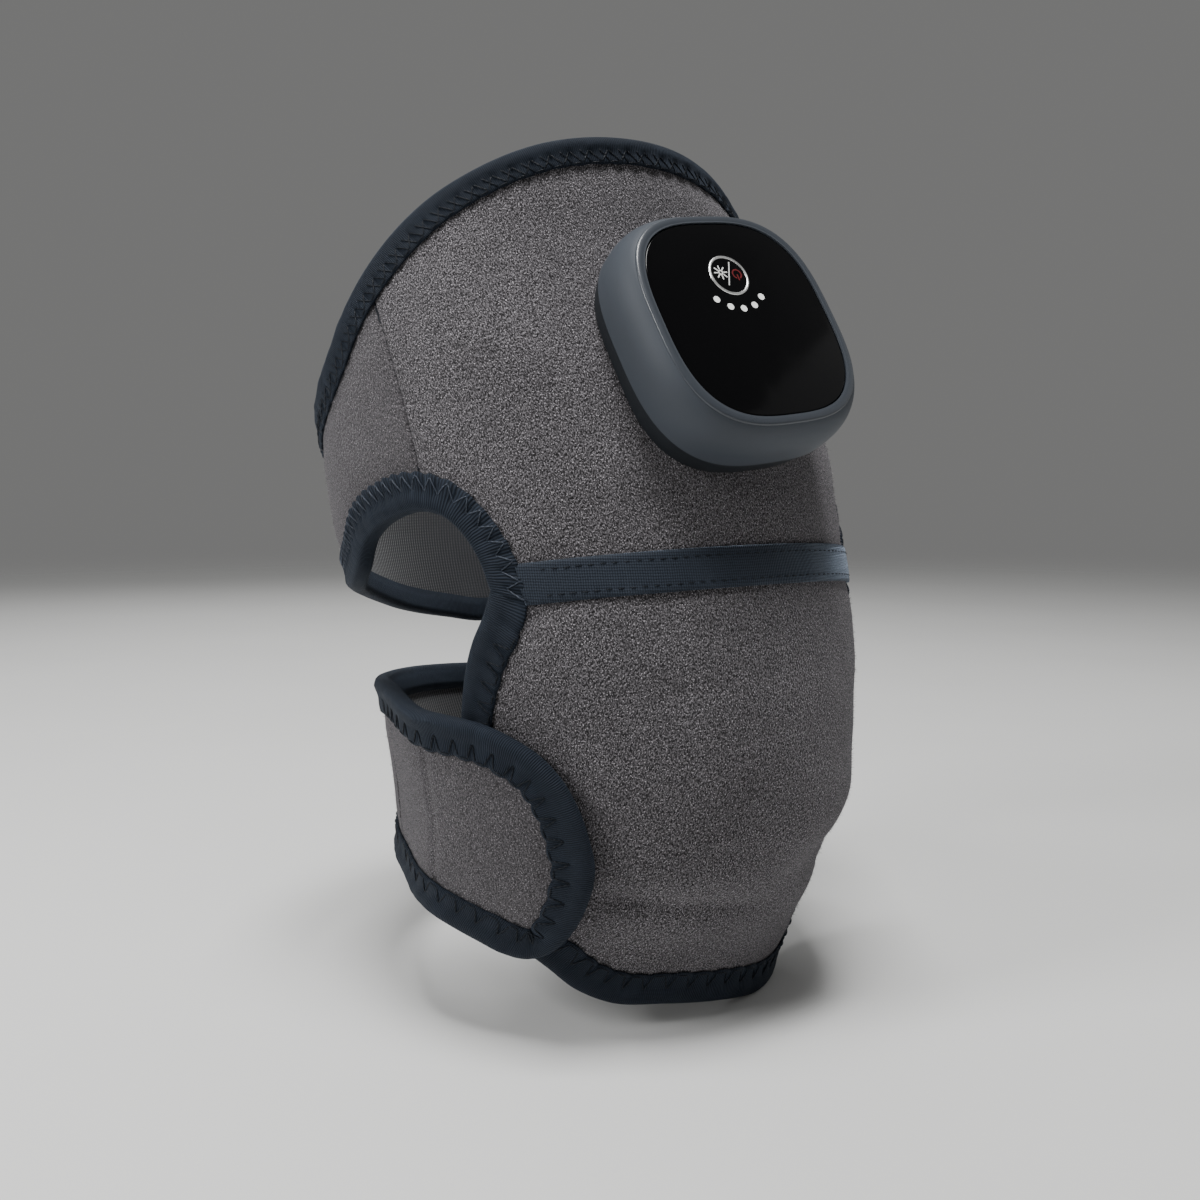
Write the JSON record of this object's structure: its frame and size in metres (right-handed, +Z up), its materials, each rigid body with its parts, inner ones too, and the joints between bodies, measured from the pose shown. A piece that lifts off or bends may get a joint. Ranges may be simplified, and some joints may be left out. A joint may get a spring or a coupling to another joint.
{
  "type": "heated massage knee wrap",
  "caption": "Cordless padded knee wrap with hook-and-loop straps and a push-button controller pod for heat and vibration.",
  "frame": {"origin": "on the leg's axis at the level of the knee band", "axes": "+Z up the leg, -Y out of the front of the knee, +X towards the wearer's outer side"},
  "size_m": [0.1506, 0.1546, 0.226],
  "materials": {
    "pod_shell": "satin slate grey moulding",
    "pod_back_shell": "satin dark grey moulding",
    "black_panel": "glossy black face",
    "ring_metal": "polished ring",
    "button_cap": "glossy black cap",
    "white_mark": "printed mark",
    "red_mark": "printed mark",
    "clip_steel": "spring steel",
    "light_pipe": "clear frosted acrylic",
    "led_body": "surface-mount light",
    "circuit_board": "green solder mask",
    "switch_body": "black moulding",
    "socket_metal": "nickel plated shell",
    "connector_plastic": "cream moulding",
    "battery_wrap": "shrink-wrapped cell",
    "screw_steel": "zinc plated",
    "clamp_plastic": "black glass-filled moulding",
    "grommet_rubber": "black rubber",
    "loop_fabric": "grey heather loop pile",
    "strap_fabric": "grey heather loop pile",
    "foam": "open-cell foam",
    "heater_film": "amber film with a printed track",
    "lining_fabric": "smooth dark knit",
    "wire_sheath": "flat sheathed wire",
    "navy_tape": "woven navy tape",
    "navy_binding": "ribbed navy binding tape",
    "hook_plastic": "moulded hook field",
    "motor_steel": "drawn steel",
    "motor_weight": "tungsten alloy weight"
  },
  "bodies": {
    "wrap": {"front_housing": "pod_shell", "back_housing": "pod_back_shell", "touch_panel": "black_panel", "button_bezel_ring": "ring_metal", "level_light_pipes": "light_pipe", "indicator_leds": "led_body", "main_circuit_board": "circuit_board", "tactile_switch": "switch_body", "usb_c_socket": "socket_metal", "board_connectors": "connector_plastic", "lithium_battery": "battery_wrap", "housing_screws": "screw_steel", "clamp_plate": "clamp_plastic", "clamp_screws": "screw_steel", "cable_grommet": "grommet_rubber", "outer_cover": "loop_fabric", "foam_padding": "foam", "heating_film": "heater_film", "lining": "lining_fabric", "wire_harness": "wire_sheath", "knee_band": "navy_tape", "top_edge_binding": "navy_binding", "left_cutout_binding": "navy_binding", "right_cutout_binding": "navy_binding", "lower_edge_binding": "navy_binding", "upper_wing": "strap_fabric", "upper_strap": "strap_fabric", "lower_strap": "strap_fabric", "left_motor_case": "motor_steel", "left_motor_lid": "motor_steel", "right_motor_case": "motor_steel", "right_motor_lid": "motor_steel"},
    "power_button": {"power_button": "button_cap", "button_sun_mark": "white_mark", "button_power_mark": "red_mark", "button_clip": "clip_steel"},
    "left_motor_rotor": {"left_motor_rotor": "motor_weight"},
    "right_motor_rotor": {"right_motor_rotor": "motor_weight"},
    "lower_strap_free": {"lower_strap_free_section": "strap_fabric", "lower_free_section_binding": "navy_binding"},
    "lower_tab": {"lower_tab": "strap_fabric", "lower_tab_binding": "navy_binding", "lower_tab_hooks": "hook_plastic"},
    "upper_strap_free": {"upper_strap_free_section": "strap_fabric", "upper_free_section_binding": "navy_binding"},
    "upper_tab": {"upper_tab": "strap_fabric", "upper_tab_binding": "navy_binding", "upper_tab_hooks": "hook_plastic"}
  },
  "joints": [
    {"name": "power_button_press", "type": "slide", "parent": "wrap", "child": "power_button", "axis": [0.0914, 0.8698, -0.4848], "range_m": [0, 0.0005], "stiffness_N_per_m": 500, "springref_m": -0.0005},
    {"name": "left_motor_spin", "type": "hinge", "parent": "wrap", "child": "left_motor_rotor", "pos_m": [-0.03848, -0.06271, -0.029], "axis": [-0.6337, -0.7718, 0.0528], "continuous": true},
    {"name": "right_motor_spin", "type": "hinge", "parent": "wrap", "child": "right_motor_rotor", "pos_m": [0.03848, -0.06271, -0.029], "axis": [0.6337, -0.7718, 0.0528], "continuous": true},
    {"name": "lower_strap_swing", "type": "hinge", "parent": "wrap", "child": "lower_strap_free", "pos_m": [-0.04668, 0.03407, -0.05842], "axis": [0.091, -0.0249, -0.9955], "range_deg": [0, 60]},
    {"name": "lower_tab_peel", "type": "hinge", "parent": "lower_strap_free", "child": "lower_tab", "pos_m": [-0.06639, -0.02187, -0.06125], "axis": [0.1113, 0.1095, -0.9877], "range_deg": [0, 70]},
    {"name": "upper_strap_swing", "type": "hinge", "parent": "wrap", "child": "upper_strap_free", "pos_m": [0.03547, 0.05854, 0.0036], "axis": [0.0516, 0.2747, 0.9601], "range_deg": [0, 60]},
    {"name": "upper_tab_peel", "type": "hinge", "parent": "upper_strap_free", "child": "upper_tab", "pos_m": [0.06935, 0.03137, 0.01474], "axis": [0.0565, 0.2806, 0.9582], "range_deg": [0, 70]}
  ]
}
